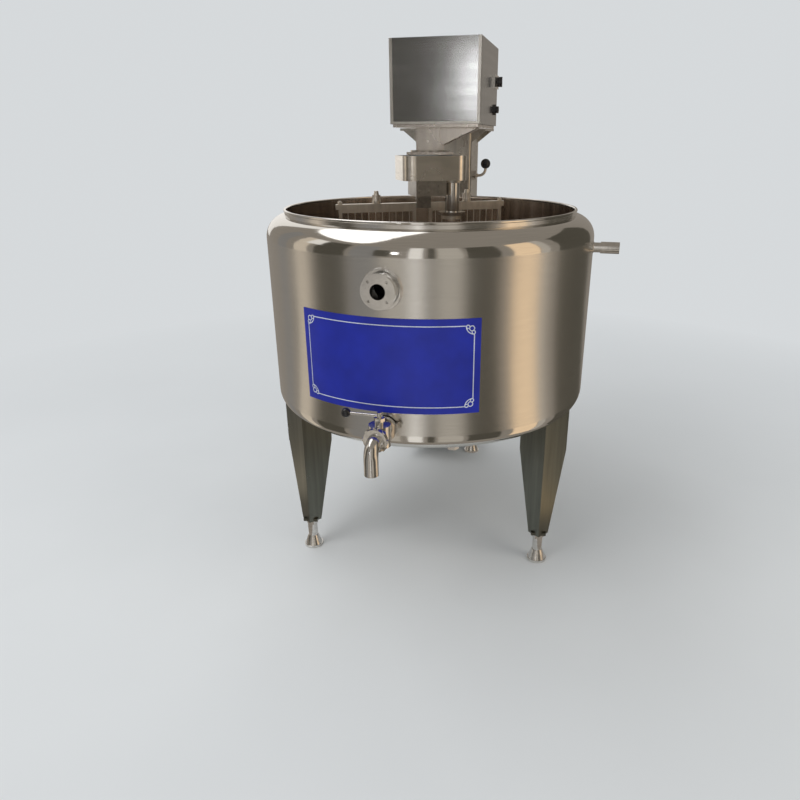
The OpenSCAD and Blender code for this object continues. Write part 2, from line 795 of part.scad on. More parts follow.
module main_shaft() color(color_steel) on_axis() translate([0, 0, hub_z])
    cylinder(d = shaft_d, h = head_z + gearbox_h + 15 - hub_z);

module carrier_plate() color(color_steel) on_carrier() translate([0, 0, guard_z])
    linear_extrude(plate_carrier_t) difference() {
        round_rect(guard_l - 2 * guard_t, guard_w - 2 * guard_t, guard_r - guard_t);
        circle(d = shaft_d);
        translate([planet_e, 0]) circle(journal_d / 2 + run);
    }

module gear_guard() color(color_steel) on_carrier() translate([0, 0, guard_z])
    linear_extrude(guard_h) difference() {
        round_rect(guard_l, guard_w, guard_r);
        round_rect(guard_l - 2 * guard_t, guard_w - 2 * guard_t, guard_r - guard_t);
    }

module hub_block() color(color_dark) on_carrier() {
    difference() {
        union() {
            span([-hub_l / 2 - 16, -hub_w / 2, hub_z], [hub_l / 2 - 6, hub_w / 2, guard_z]);
            translate([planet_e, 0, guard_z - bush_t]) cylinder(d = bush_d, h = bush_t);
        }
        translate([0, 0, hub_z - 1]) cylinder(d = shaft_d, h = hub_h + 2);
        translate([planet_e, 0, guard_z - bush_t - 1]) cylinder(r = journal_d / 2 + run, h = bush_t + 2);
        translate([planet_e, 0, hub_z - 1]) cylinder(d = post_d + 2 * gap, h = hub_h - bush_t + 1);
    }
    for (x = [-46, -16, 14], z = [14, 31]) {
        translate([x, -hub_w / 2, hub_z + z]) rotate([90, 0, 0]) hex(9, 5);
    }
}

// an angle bracket from the hub block back to the harp beam, with its wing bolt
module beam_hanger() color(color_steel) on_carrier() {
    span([-24, hub_w / 2, hub_z + 6], [24, beam_off + 14, hub_z + 6 + hanger_t]);
    span(
        [-24, beam_off - beam_s / 2 - hanger_t, beam_z - beam_s / 2],
        [24, beam_off - beam_s / 2, hub_z + 6]
    );
    translate([0, beam_off - beam_s / 2 - hanger_t, beam_z]) rotate([90, 0, 0]) {
        cylinder(d = 16, h = 8);
        for (s = [-1, 1]) {
            rotate([0, 0, s * 35]) span([-2.5, 0, 0], [2.5, 24, 6]);
        }
    }
}

module harp_beam() color(color_steel) on_carrier() difference() {
    translate([0, beam_off, beam_z]) cube([beam_l, beam_s, beam_s], center = true);
    for (s = [-1, 1]) {
        translate([s * knob_x, beam_off, beam_z - beam_s]) cylinder(r = stud_d / 2 + run, h = 2 * beam_s);
        translate([s * (harp_out - rail_s / 2), beam_off, beam_z - beam_s])
            cylinder(d = stud_d, h = 2 * beam_s);
    }
}

// one harp: upper rail, two side rods, lower bar and the end stud with its nut
module harp(s) mirror([s < 0 ? 1 : 0, 0, 0]) translate([0, beam_off, 0]) {
    difference() {
        span([harp_in, -rail_s / 2, rail_z], [harp_out, rail_s / 2, rail_z + rail_s]);
        translate([knob_x, 0, rail_z - 1]) cylinder(r = stud_d / 2 + run, h = rail_s + 2);
    }
    span([harp_in, -rail_s / 2, harp_z], [harp_out, rail_s / 2, harp_z + rail_s]);
    for (x = [harp_in, harp_out - rail_s]) {
        span([x, -rail_s / 2, harp_z + rail_s], [x + rail_s, rail_s / 2, rail_z]);
    }
    translate([harp_out - rail_s / 2, 0, rail_z + rail_s]) cylinder(d = stud_d, h = beam_s + 10);
    translate([harp_out - rail_s / 2, 0, beam_z + beam_s / 2]) hex(13, 7);
}

module harp_frames() color(color_steel) on_carrier() {
    harp(-1);
    harp(1);
}

module harp_wires() color(color_steel) on_carrier()
    for (s = [-1, 1], x = [harp_in + wire_gap : wire_gap : harp_out - wire_gap / 2 - rail_s]) {
        translate([s * x, beam_off, harp_z + rail_s])
            cylinder(d = wire_d, h = rail_z - harp_z - rail_s, $fn = 24);
    }

// a tapered hand knob with its stud
module harp_knob(s) color(color_steel) on_carrier() translate([s * knob_x, beam_off, 0]) {
    translate([0, 0, rail_z + 1]) cylinder(d = stud_d, h = beam_s + rail_s);
    translate([0, 0, beam_z + beam_s / 2 + 0.3]) cylinder(d = 28, h = 8);
    translate([0, 0, beam_z + beam_s / 2 + 8]) cylinder(d1 = 24, d2 = 13, h = 30);
    for (a = [0, 90]) {
        rotate([0, 0, a]) span([-13, -2.5, beam_z + beam_s / 2 + 7], [13, 2.5, beam_z + beam_s / 2 + 26]);
    }
}

module harp_knob_left() harp_knob(-1);

module harp_knob_right() harp_knob(1);

// puts children on the planet's axis at its rest turn
module on_planet() on_carrier() translate([planet_e, 0, 0])
    rotate([0, 0, planet_phase - carrier_angle]) children();

module planet_gear() color(color_dark) on_planet() translate([0, 0, sun_z + 1])
    linear_extrude(gear_w - 2) difference() {
        gear_outline(gear_m, planet_teeth);
        circle(d = 24);
    }

module planet_shaft() color(color_steel) on_planet() {
    translate([0, 0, coupling_z]) cylinder(d = coupling_d, h = coupling_t);
    translate([0, 0, coupling_z + coupling_t]) cylinder(d = post_d, h = post_top - coupling_z - coupling_t);
    translate([0, 0, post_top]) cylinder(d = journal_d, h = guard_z + plate_carrier_t + 2 - post_top);
    translate([0, 0, guard_z + plate_carrier_t])
        cylinder(d = 24, h = sun_z + gear_w - guard_z - plate_carrier_t);
}

module paddle() color(color_steel) on_planet() translate([0, 0, paddle_z]) {
    translate([0, 0, paddle_len]) cylinder(d = paddle_hub_d, h = paddle_hub_t);
    cylinder(d = paddle_rod_d, h = paddle_len);
    for (k = [0 : 2]) {
        translate([-paddle_w / 2, -paddle_t / 2, k * blade_pitch]) cube([paddle_w, paddle_t, blade_h]);
    }
}

liner();
jacket_shell();
port_flange();
side_nozzle();
nozzle_socket();
drain_stub();
drain_cap();
nameplate();
outlet_stub();
outlet_gasket();
outlet_clamp();
valve_body();
gland_nut();
union_ring();
spout();
valve_plug();
valve_lever();
lever_ball();
leg_left();
leg_right();
column();
column_base();
column_ties();
saddle();
foot_left();
foot_right();
foot_rear_left();
foot_rear_right();
arm();
head_base();
head_cover();
head_front();
head_rear();
panel_screws();
motor();
gearbox();
neck();
neck_bolts();
neck_gussets();
bearing_housing();
sun_gear();
switch_plate();
switch_knob();
cable_gland();
lock_boss();
lock_lever();
lock_ball();
main_shaft();
carrier_plate();
gear_guard();
hub_block();
beam_hanger();
harp_beam();
harp_frames();
harp_wires();
harp_knob_left();
harp_knob_right();
planet_shaft();
planet_gear();
paddle();
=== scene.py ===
from math import asin, cos, pi, radians, sin, sqrt

import bmesh
import bpy
from mathutils import Matrix, Vector


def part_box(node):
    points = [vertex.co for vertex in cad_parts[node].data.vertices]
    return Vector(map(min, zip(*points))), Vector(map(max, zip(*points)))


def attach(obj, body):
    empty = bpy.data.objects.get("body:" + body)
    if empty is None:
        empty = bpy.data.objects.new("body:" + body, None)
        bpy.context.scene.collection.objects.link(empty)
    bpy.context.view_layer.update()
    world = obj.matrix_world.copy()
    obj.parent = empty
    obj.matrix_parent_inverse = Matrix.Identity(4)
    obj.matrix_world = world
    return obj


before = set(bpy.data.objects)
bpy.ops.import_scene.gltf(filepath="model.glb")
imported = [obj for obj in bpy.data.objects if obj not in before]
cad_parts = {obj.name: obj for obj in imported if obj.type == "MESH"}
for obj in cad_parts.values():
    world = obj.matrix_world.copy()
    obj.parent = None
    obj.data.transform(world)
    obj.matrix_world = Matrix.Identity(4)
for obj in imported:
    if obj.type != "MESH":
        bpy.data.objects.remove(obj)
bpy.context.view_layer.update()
scene = bpy.context.scene
scene.view_settings.view_transform = "Standard"

# the vessel's axis and the shell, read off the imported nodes
shellLow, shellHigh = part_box("jacket_shell")
vesselX = (shellLow[0] + shellHigh[0]) / 2
vesselY = (shellLow[1] + shellHigh[1]) / 2
shellRadius = (shellHigh[0] - shellLow[0]) / 2
print("frame loaded, shell radius", round(shellRadius, 4))


# heights that pieces and finishes share
def middleHeight(name):
    low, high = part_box(name)
    return (low[2] + high[2]) / 2


portHeight = middleHeight("port_flange")
outletHeight = middleHeight("outlet_stub")
nozzleHeight = middleHeight("side_nozzle")
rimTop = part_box("liner")[1][2]

# the camera that was fitted to the photograph
cameraSet = {
    "lens": 29.16, "sensor": 36, "shiftX": -0.0381,  # millimetres, and a share of the width
    "pitch": 68.36, "swing": 14.0,  # degrees
    "away": 2.083, "height": 1.291,  # metres from the vessel's axis and above the floor
}


def addCamera(c):
    cam = bpy.data.cameras.new("camera")
    cam.lens = c["lens"]
    cam.sensor_width = c["sensor"]
    cam.shift_x = c["shiftX"]
    obj = bpy.data.objects.new("camera", cam)
    swing = radians(c["swing"])
    obj.location = (vesselX + c["away"] * sin(swing), vesselY - c["away"] * cos(swing), c["height"])
    obj.rotation_euler = (radians(c["pitch"]), 0, swing)
    scene.collection.objects.link(obj)
    scene.camera = obj


addCamera(cameraSet)
print("camera placed")


# helpers shared by the finishes below
def startFinish(name):
    mat = bpy.data.materials.new(name)
    mat.use_nodes = True
    nodes = mat.node_tree.nodes
    shader = nodes["Principled BSDF"]
    coords = nodes.new("ShaderNodeTexCoord")
    return mat, nodes, mat.node_tree.links, shader, coords


def addNoise(nodes, links, coords, scale, stretch=(1, 1, 1), detail=4.0):
    mapping = nodes.new("ShaderNodeMapping")
    mapping.inputs["Scale"].default_value = stretch
    links.new(coords.outputs["Object"], mapping.inputs["Vector"])
    noise = nodes.new("ShaderNodeTexNoise")
    noise.inputs["Scale"].default_value = scale
    noise.inputs["Detail"].default_value = detail
    links.new(mapping.outputs["Vector"], noise.inputs["Vector"])
    return noise.outputs["Fac"]


def addRamp(nodes, links, source, stops):
    ramp = nodes.new("ShaderNodeValToRGB")
    links.new(source, ramp.inputs["Fac"])
    while len(ramp.color_ramp.elements) < len(stops):
        ramp.color_ramp.elements.new(0.5)
    for element, (place, colour) in zip(ramp.color_ramp.elements, stops):
        element.position = place
        element.color = (*colour, 1)
    return ramp.outputs["Color"]


def addRange(nodes, links, source, low, high, fromLow=0.2, fromHigh=0.8):
    span = nodes.new("ShaderNodeMapRange")
    links.new(source, span.inputs["Value"])
    span.inputs["From Min"].default_value = fromLow
    span.inputs["From Max"].default_value = fromHigh
    span.inputs["To Min"].default_value = low
    span.inputs["To Max"].default_value = high
    return span.outputs["Result"]


def addBump(nodes, links, shader, source, strength, distance):
    bump = nodes.new("ShaderNodeBump")
    bump.inputs["Strength"].default_value = strength
    bump.inputs["Distance"].default_value = distance
    links.new(source, bump.inputs["Height"])
    links.new(bump.outputs["Normal"], shader.inputs["Normal"])


def tinted(colour, amount):
    return tuple(min(1.0, c * amount) for c in colour)


# sheet and pipe steel: a grain along one axis, blotchy polish and a faint bump
steelSet = {
    # the head's steel is painted darker than the rest, as painted dark reflection on the head
    "paintedDarkHeadSheet": {
        "colour": (0.47, 0.475, 0.48), "rough": 0.17, "stretch": (0.04, 0.04, 1),
        "spread": 0.03, "contrast": 0.1, "grain": 90,
    },
    "neckPlate": {"colour": (0.76, 0.71, 0.66), "rough": 0.27, "stretch": (1, 1, 0.1)},
    "pipeSteel": {"colour": (0.70, 0.68, 0.65), "rough": 0.17, "stretch": (1, 1, 0.2)},
    "valveCasting": {
        "colour": (0.76, 0.74, 0.71), "rough": 0.19, "stretch": (1, 1, 1),
        "spread": 0.08, "contrast": 0.15, "grain": 80, "bump": 0.08,
    },
    "columnSheet": {
        "colour": (0.60, 0.57, 0.52), "rough": 0.28, "stretch": (1, 1, 0.05),
        "spread": 0.05, "contrast": 0.14, "grain": 70,
    },
    # the legs' steel is painted much darker than the rest, as painted shade on the legs
    "paintedShadeLegSheet": {
        "colour": (0.17, 0.175, 0.15), "rough": 0.30, "stretch": (1, 1, 0.05),
        "spread": 0.05, "contrast": 0.18, "grain": 70,
    },
    "guardSheet": {"colour": (0.88, 0.83, 0.76), "rough": 0.26, "stretch": (0.2, 0.2, 1), "spread": 0.05},
    "hubBlock": {
        "colour": (0.50, 0.47, 0.43), "rough": 0.32, "stretch": (1, 1, 1), "contrast": 0.2, "bump": 0.06,
    },
    "rodSteel": {"colour": (0.95, 0.89, 0.81), "rough": 0.36, "stretch": (1, 1, 0.1)},
    "lipPolish": {
        "colour": (0.76, 0.74, 0.71), "rough": 0.10, "stretch": (1, 1, 1),
        "spread": 0.03, "contrast": 0.1, "grain": 40, "bump": 0.01,
    },
    "foldedHem": {
        "colour": (0.74, 0.72, 0.68), "rough": 0.30, "stretch": (1, 1, 0.1),
        "spread": 0.05, "contrast": 0.1, "grain": 80,
    },
    "gearSteel": {
        "colour": (0.42, 0.42, 0.41), "rough": 0.36, "stretch": (1, 1, 0.2), "contrast": 0.2, "grain": 80,
    },
}


def steelFinish(name, colour, rough, stretch, spread=0.06, contrast=0.12, grain=60, bump=0.03, blotches=9):
    mat, nodes, links, shader, coords = startFinish(name)
    streak = addNoise(nodes, links, coords, grain, stretch)
    blotch = addNoise(nodes, links, coords, blotches, detail=3)
    darker, brighter = tinted(colour, 1 - contrast), tinted(colour, 1 + contrast / 2)
    links.new(addRamp(nodes, links, streak, [(0.3, darker), (0.7, brighter)]), shader.inputs["Base Color"])
    links.new(addRange(nodes, links, blotch, rough - spread, rough + spread), shader.inputs["Roughness"])
    shader.inputs["Metallic"].default_value = 1
    addBump(nodes, links, shader, streak, bump, 0.0004)
    return mat


# the shell: polished shoulder and lower corner, satin side with the grain running round it
shellSet = {
    "colour": (0.72, 0.70, 0.66), "satin": (0.20, 0.28), "polish": (0.085, 0.115),
    "upperSeam": 1.030, "lowerSeam": 0.556, "seam": 0.0015,  # two heights and half a seam's width
    "grain": 30, "stretch": (0.5, 0.5, 22), "blotches": 6,
}


def shellFinish(s):
    mat, nodes, links, shader, coords = startFinish("shellSatin")
    split = nodes.new("ShaderNodeSeparateXYZ")
    links.new(coords.outputs["Object"], split.inputs["Vector"])
    height = split.outputs["Z"]
    grain = addNoise(nodes, links, coords, s["grain"], s["stretch"], 5)
    blotch = addNoise(nodes, links, coords, s["blotches"], (1, 1, 0.5), 3)
    upper = addRange(nodes, links, height, 0, 1, s["upperSeam"] - s["seam"], s["upperSeam"] + s["seam"])
    lower = addRange(nodes, links, height, 1, 0, s["lowerSeam"] - s["seam"], s["lowerSeam"] + s["seam"])
    polished = nodes.new("ShaderNodeMath")
    polished.operation = "MAXIMUM"
    links.new(upper, polished.inputs[0])
    links.new(lower, polished.inputs[1])
    satin = addRange(nodes, links, blotch, *s["satin"])
    rough = nodes.new("ShaderNodeMix")
    rough.data_type = "FLOAT"
    links.new(polished.outputs[0], rough.inputs["Factor"])
    links.new(satin, rough.inputs["A"])
    links.new(addRange(nodes, links, grain, *s["polish"]), rough.inputs["B"])
    links.new(rough.outputs["Result"], shader.inputs["Roughness"])
    shade = addRamp(nodes, links, grain, [(0.3, tinted(s["colour"], 0.93)), (0.7, s["colour"])])
    links.new(shade, shader.inputs["Base Color"])
    shader.inputs["Metallic"].default_value = 1
    addBump(nodes, links, shader, grain, 0.02, 0.0003)
    return mat


# the liner: a bright lip and neck outside; down the inside, drawn streaks over a darker, warmer copy of
# the steel that is painted shade and painted reflection
linerSet = {
    # the inside colour is the same steel painted darker and warmer, as shade and reflection inside the vat
    "shadedInside": (0.74, 0.655, 0.58), "outside": (0.76, 0.74, 0.71),
    "wall": 0.4415, "wallEdge": 0.0004,  # radius where the bright outside begins
    "lip": rimTop - 0.0095, "lipEdge": 0.001,  # height where the bright lip begins
    "streaks": 34, "stretch": (1, 1, 0.03), "rough": (0.14, 0.30),
}


def linerFinish(s):
    mat, nodes, links, shader, coords = startFinish("linerPolish")
    centred = nodes.new("ShaderNodeMapping")
    centred.inputs["Location"].default_value = (-vesselX, -vesselY, 0)
    centred.inputs["Scale"].default_value = (1, 1, 0)
    links.new(coords.outputs["Object"], centred.inputs["Vector"])
    reach = nodes.new("ShaderNodeVectorMath")
    reach.operation = "LENGTH"
    links.new(centred.outputs["Vector"], reach.inputs[0])
    split = nodes.new("ShaderNodeSeparateXYZ")
    links.new(coords.outputs["Object"], split.inputs["Vector"])
    wallSpan = s["wall"] - s["wallEdge"], s["wall"] + s["wallEdge"]
    lipSpan = s["lip"] - s["lipEdge"], s["lip"] + s["lipEdge"]
    outside = addRange(nodes, links, reach.outputs["Value"], 0, 1, *wallSpan)
    lip = addRange(nodes, links, split.outputs["Z"], 0, 1, *lipSpan)
    bright = nodes.new("ShaderNodeMath")
    bright.operation = "MAXIMUM"
    links.new(outside, bright.inputs[0])
    links.new(lip, bright.inputs[1])
    streak = addNoise(nodes, links, coords, s["streaks"], s["stretch"])
    # painted shade and reflection: below the lip the inside wall takes the darker, warmer copy of the
    # steel
    darker, brighter = tinted(s["shadedInside"], 0.74), tinted(s["shadedInside"], 1.1)
    shadedInside = addRamp(nodes, links, streak, [(0.3, darker), (0.72, brighter)])
    mix = nodes.new("ShaderNodeMix")
    mix.data_type = "RGBA"
    links.new(bright.outputs[0], mix.inputs["Factor"])
    links.new(shadedInside, mix.inputs[6])  # 6 and 7 are the colours A and B, and output 2 is their mix
    mix.inputs[7].default_value = (*s["outside"], 1)
    links.new(mix.outputs[2], shader.inputs["Base Color"])
    links.new(addRange(nodes, links, streak, *s["rough"]), shader.inputs["Roughness"])
    shader.inputs["Metallic"].default_value = 1
    addBump(nodes, links, shader, streak, 0.02, 0.0003)
    return mat


# a lathe-turned flange: fine rings about the port's axis
turnedSet = {
    "colour": (0.90, 0.89, 0.87), "height": portHeight, "rough": (0.12, 0.26),
    "rings": 160, "waver": 1.5, "blotches": 40,
}


def turnedFinish(s):
    mat, nodes, links, shader, coords = startFinish("turnedFlange")
    centred = nodes.new("ShaderNodeMapping")
    centred.inputs["Location"].default_value = (-vesselX, 0, -s["height"])
    links.new(coords.outputs["Object"], centred.inputs["Vector"])
    rings = nodes.new("ShaderNodeTexWave")
    rings.wave_type = "RINGS"
    rings.rings_direction = "Y"
    rings.inputs["Scale"].default_value = s["rings"]
    rings.inputs["Distortion"].default_value = s["waver"]
    links.new(centred.outputs["Vector"], rings.inputs["Vector"])
    blotch = addNoise(nodes, links, coords, s["blotches"])
    shade = addRamp(nodes, links, blotch, [(0.3, tinted(s["colour"], 0.86)), (0.7, s["colour"])])
    links.new(shade, shader.inputs["Base Color"])
    links.new(addRange(nodes, links, rings.outputs["Fac"], *s["rough"], 0, 1), shader.inputs["Roughness"])
    shader.inputs["Metallic"].default_value = 1
    addBump(nodes, links, shader, rings.outputs["Fac"], 0.06, 0.0003)
    return mat


# plastics, rubber, enamel and castings that are painted
mouldedSet = {
    "castGrey": {"colour": (0.20, 0.21, 0.21), "rough": 0.5, "grain": 220, "bump": 0.2},
    "knobBlack": {"colour": (0.012, 0.012, 0.014), "rough": 0.22, "grain": 200, "bump": 0.04, "coat": 0.3},
    "sealRubber": {"colour": (0.03, 0.03, 0.03), "rough": 0.65, "grain": 500, "bump": 0.1},
    "plateBlue": {"colour": (0.006, 0.020, 0.40), "rough": 0.42, "grain": 90, "bump": 0.004},
    "inkWhite": {"colour": (0.72, 0.76, 0.86), "rough": 0.45, "grain": 300, "bump": 0.03},
}


def mouldedFinish(name, colour, rough, grain, bump, coat=0.0, patches=14):
    mat, nodes, links, shader, coords = startFinish(name)
    fine = addNoise(nodes, links, coords, grain, detail=3)
    broad = addNoise(nodes, links, coords, patches, detail=2)
    shade = addRamp(nodes, links, broad, [(0.3, tinted(colour, 0.85)), (0.7, tinted(colour, 1.1))])
    links.new(shade, shader.inputs["Base Color"])
    links.new(addRange(nodes, links, fine, rough - 0.05, rough + 0.06), shader.inputs["Roughness"])
    shader.inputs["Coat Weight"].default_value = coat
    addBump(nodes, links, shader, fine, bump, 0.0003)
    return mat


shellSatin = shellFinish(shellSet)
linerPolish = linerFinish(linerSet)
steel = {name: steelFinish(name, **look) for name, look in steelSet.items()}
turnedFlange = turnedFinish(turnedSet)
moulded = {name: mouldedFinish(name, **look) for name, look in mouldedSet.items()}

finishOf = {
    shellSatin: "jacket_shell",
    linerPolish: "liner",
    turnedFlange: "port_flange",
    steel["paintedDarkHeadSheet"]: "head_cover head_front head_rear",
    steel["neckPlate"]: "neck neck_gussets head_base arm",
    steel["pipeSteel"]: "side_nozzle nozzle_socket drain_stub spout outlet_stub main_shaft planet_shaft",
    steel["valveCasting"]: "valve_body union_ring outlet_clamp gland_nut drain_cap valve_plug valve_lever "
                           "lock_boss foot_left foot_right foot_rear_left foot_rear_right "
                           "panel_screws neck_bolts switch_plate",
    steel["columnSheet"]: "column column_ties saddle",
    steel["paintedShadeLegSheet"]: "leg_left leg_right column_base",
    steel["guardSheet"]: "gear_guard carrier_plate",
    steel["hubBlock"]: "hub_block beam_hanger",
    steel["rodSteel"]: "harp_beam harp_frames harp_wires harp_knob_left harp_knob_right paddle lock_lever",
    steel["gearSteel"]: "sun_gear planet_gear",
    moulded["castGrey"]: "motor gearbox bearing_housing",
    moulded["knobBlack"]: "lever_ball switch_knob cable_gland lock_ball",
    moulded["sealRubber"]: "outlet_gasket",
    moulded["plateBlue"]: "nameplate",
}


def dressNodes(table):
    dressed = set()
    for mat, names in table.items():
        for name in names.split():
            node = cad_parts[name]
            for place in node.material_slots:
                place.material = mat
            if not node.material_slots:
                node.data.materials.append(mat)
            dressed.add(name)
    left = set(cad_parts) - dressed
    print("dressed", len(dressed), "nodes, left", sorted(left))


dressNodes(finishOf)


# each added piece rides on one body and names the finish slot it takes
def finishPiece(name, bm, mat, body, smooth=True):
    bmesh.ops.remove_doubles(bm, verts=bm.verts, dist=1e-6)
    bmesh.ops.recalc_face_normals(bm, faces=bm.faces)
    mesh = bpy.data.meshes.new(name)
    bm.to_mesh(mesh)
    bm.free()
    for face in mesh.polygons:
        face.use_smooth = smooth
    mesh.materials.append(mat)
    obj = bpy.data.objects.new(name, mesh)
    scene.collection.objects.link(obj)
    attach(obj, body)
    return obj


# a weld bead: a small ring round +Z, spun about its own centre
def spinRing(radius, bead, steps=72, sides=10):
    bm = bmesh.new()
    ring = bmesh.ops.create_circle(bm, segments=sides, radius=bead)["verts"]
    bmesh.ops.rotate(bm, verts=ring, cent=(0, 0, 0), matrix=Matrix.Rotation(pi / 2, 3, "X"))
    bmesh.ops.translate(bm, verts=ring, vec=(radius, 0, 0))
    bmesh.ops.spin(
        bm, geom=bm.verts[:] + bm.edges[:], cent=(0, 0, 0), axis=(0, 0, 1),
        angle=2 * pi, steps=steps, use_merge=True,
    )
    return bm


# the bead follows the round shell: front ones face -Y, side ones +X
def weldOnShell(name, radius, bead, height, facing):
    bm = spinRing(radius, bead)
    turn = Matrix.Rotation(pi / 2, 3, "X") if facing == "front" else Matrix.Rotation(pi / 2, 3, "Y")
    bmesh.ops.rotate(bm, verts=bm.verts, cent=(0, 0, 0), matrix=turn)
    for v in bm.verts:
        if facing == "front":
            v.co.y -= sqrt(shellRadius ** 2 - v.co.x ** 2)
        else:
            v.co.x += sqrt(shellRadius ** 2 - v.co.y ** 2)
    bmesh.ops.translate(bm, verts=bm.verts, vec=(vesselX, vesselY, height))
    return finishPiece(name, bm, steel["valveCasting"], "frame")


# ring radius, bead radius, height and the side it faces
welds = {
    "portWeld": (0.0512, 0.0022, portHeight, "front"),
    "outletWeld": (0.0195, 0.0020, outletHeight, "front"),
    "nozzleWeld": (0.0149, 0.0018, nozzleHeight, "side"),
}
for name, weld in welds.items():
    weldOnShell(name, *weld)
print("weld beads made")

# the rolled rim, laid over the liner's own bead
rimSet = {"radius": 0.4415, "bead": 0.00412, "height": rimTop - 0.004, "steps": 240}


def rolledRim(r):
    bm = spinRing(r["radius"], r["bead"], r["steps"])
    bmesh.ops.translate(bm, verts=bm.verts, vec=(vesselX, vesselY, r["height"]))
    return finishPiece("rolledRim", bm, steel["lipPolish"], "frame")


rolledRim(rimSet)

# the hem that is folded round the cover's front edge: two sides and the foot
hemSet = {"width": 0.0085, "foot": 0.0068, "depth": 0.0030, "proud": 0.0008, "round": 0.0006}
coverLow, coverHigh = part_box("head_cover")


def coverHem(h):
    bm = bmesh.new()
    left, right = coverLow[0], coverHigh[0]
    low, high = coverLow[2], coverHigh[2]
    bars = [
        ((left, low), (left + h["width"], high)),
        ((right - h["width"], low), (right, high)),
        ((left + h["width"], low), (right - h["width"], low + h["foot"])),
    ]
    for (x0, z0), (x1, z1) in bars:
        made = bmesh.ops.create_cube(bm, size=1)["verts"]
        bmesh.ops.scale(bm, verts=made, vec=(x1 - x0, h["depth"], z1 - z0))
        place = ((x0 + x1) / 2, coverLow[1] - h["proud"] + h["depth"] / 2, (z0 + z1) / 2)
        bmesh.ops.translate(bm, verts=made, vec=place)
    bmesh.ops.bevel(
        bm, geom=bm.edges[:], offset=h["round"], affect="EDGES", segments=2, profile=0.5, material=-1,
    )
    return finishPiece("coverHem", bm, steel["foldedHem"], "frame", False)


coverHem(hemSet)
print("rim and cover hem made")

# the plate's border line with a small scroll in each corner
plateSet = {
    "inset": 0.019, "line": 0.0014, "relief": 0.22, "proud": 0.0017,
    "scroll": 0.022, "loop": 0.0066, "curl": 0.0044, "curlFar": 0.01716, "curlNear": 0.0022,
}
plateLow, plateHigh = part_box("nameplate")
plateArc = 2 * shellRadius * asin((plateHigh[0] - plateLow[0]) / 2 / shellRadius)  # width round the shell


def evenPath(points, step=0.004):
    path = [Vector(points[0])]
    for a, b in zip(points, points[1:]):
        a, b = Vector(a), Vector(b)
        count = max(1, int((b - a).length / step))
        path += [a.lerp(b, i / count) for i in range(1, count + 1)]
    return path


def arcPath(centre, radius, start, end, count=14):
    return [
        (centre[0] + radius * cos(radians(start + (end - start) * i / count)),
         centre[1] + radius * sin(radians(start + (end - start) * i / count)))
        for i in range(count + 1)
    ]


def plateOrnament(p):
    halfW = plateArc / 2 - p["inset"]
    low, high = plateLow[2] + p["inset"], plateHigh[2] - p["inset"]
    s = p["scroll"]
    lines = []
    for side in (-1, 1):
        lines.append([(side * halfW, low + s), (side * halfW, high - s)])
    for level in (low, high):
        lines.append([(-halfW + s, level), (halfW - s, level)])
    arcs = [
        arcPath((0, 0), s, 90, 0),
        arcPath((p["loop"], p["loop"]), p["loop"], 45, 405, 20),
        arcPath((p["curlFar"], p["curlNear"]), p["curl"], 180, 480),
        arcPath((p["curlNear"], p["curlFar"]), p["curl"], -90, -390),
    ]
    for sx in (-1, 1):
        for z, sz in ((low, -1), (high, 1)):
            lines += [[(sx * (halfW - x), z - sz * y) for x, y in arc] for arc in arcs]
    curve = bpy.data.curves.new("plateLines", "CURVE")
    curve.dimensions = "3D"
    curve.bevel_depth = p["line"]
    curve.bevel_resolution = 1
    curve.use_fill_caps = True
    for line in lines:
        path = evenPath([(x, z, 0) for x, z in line])
        spline = curve.splines.new("POLY")
        spline.points.add(len(path) - 1)
        for point, co in zip(spline.points, path):
            point.co = (*co, 1)
    flat = bpy.data.objects.new("plateLines", curve)
    scene.collection.objects.link(flat)
    bm = bmesh.new()
    bm.from_mesh(bpy.data.meshes.new_from_object(flat))
    bpy.data.objects.remove(flat)
    bpy.data.curves.remove(curve)
    for v in bm.verts:
        along, up, off = v.co
        reach = shellRadius + p["proud"] + off * p["relief"]
        turn = along / shellRadius
        v.co = (vesselX + reach * sin(turn), vesselY - reach * cos(turn), up)
    return finishPiece("plateBorder", bm, moulded["inkWhite"], "frame")


plateOrnament(plateSet)
print("plate border made, arc", round(plateArc, 4))

# a pale pointer let into the switch's grip
pointerSet = {
    "long": 0.011, "wide": 0.0022, "deep": 0.0012, "round": 0.0003,
    "above": 0.006, "sunk": 0.45,  # height over the grip's middle, and the share of its depth inside
}
knobLow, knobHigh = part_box("switch_knob")


def switchPointer(p):
    bm = bmesh.new()
    bmesh.ops.create_cube(bm, size=1)
    bmesh.ops.scale(bm, verts=bm.verts, vec=(p["deep"], p["wide"], p["long"]))
    bmesh.ops.bevel(
        bm, geom=bm.edges[:], offset=p["round"], affect="EDGES", segments=2, profile=0.5, material=-1,
    )
    middleY, middleZ = (knobLow[1] + knobHigh[1]) / 2, (knobLow[2] + knobHigh[2]) / 2
    place = (knobHigh[0] - p["deep"] * p["sunk"], middleY, middleZ + p["above"])
    bmesh.ops.translate(bm, verts=bm.verts, vec=place)
    return finishPiece("switchPointer", bm, moulded["inkWhite"], "switch", False)


switchPointer(pointerSet)
print("switch pointer made")


# the floor is lit near the vat and fades into the background far from it
floorSet = {
    "size": 30, "fadeFrom": 0.9, "fadeTo": 3.4,
    "darker": (0.84, 0.86, 0.87), "paler": (0.88, 0.90, 0.91), "patches": 1.2, "rough": 0.9,
}
backSet = {"colour": (0.84, 0.87, 0.89), "seen": 0.80, "fill": 0.42}


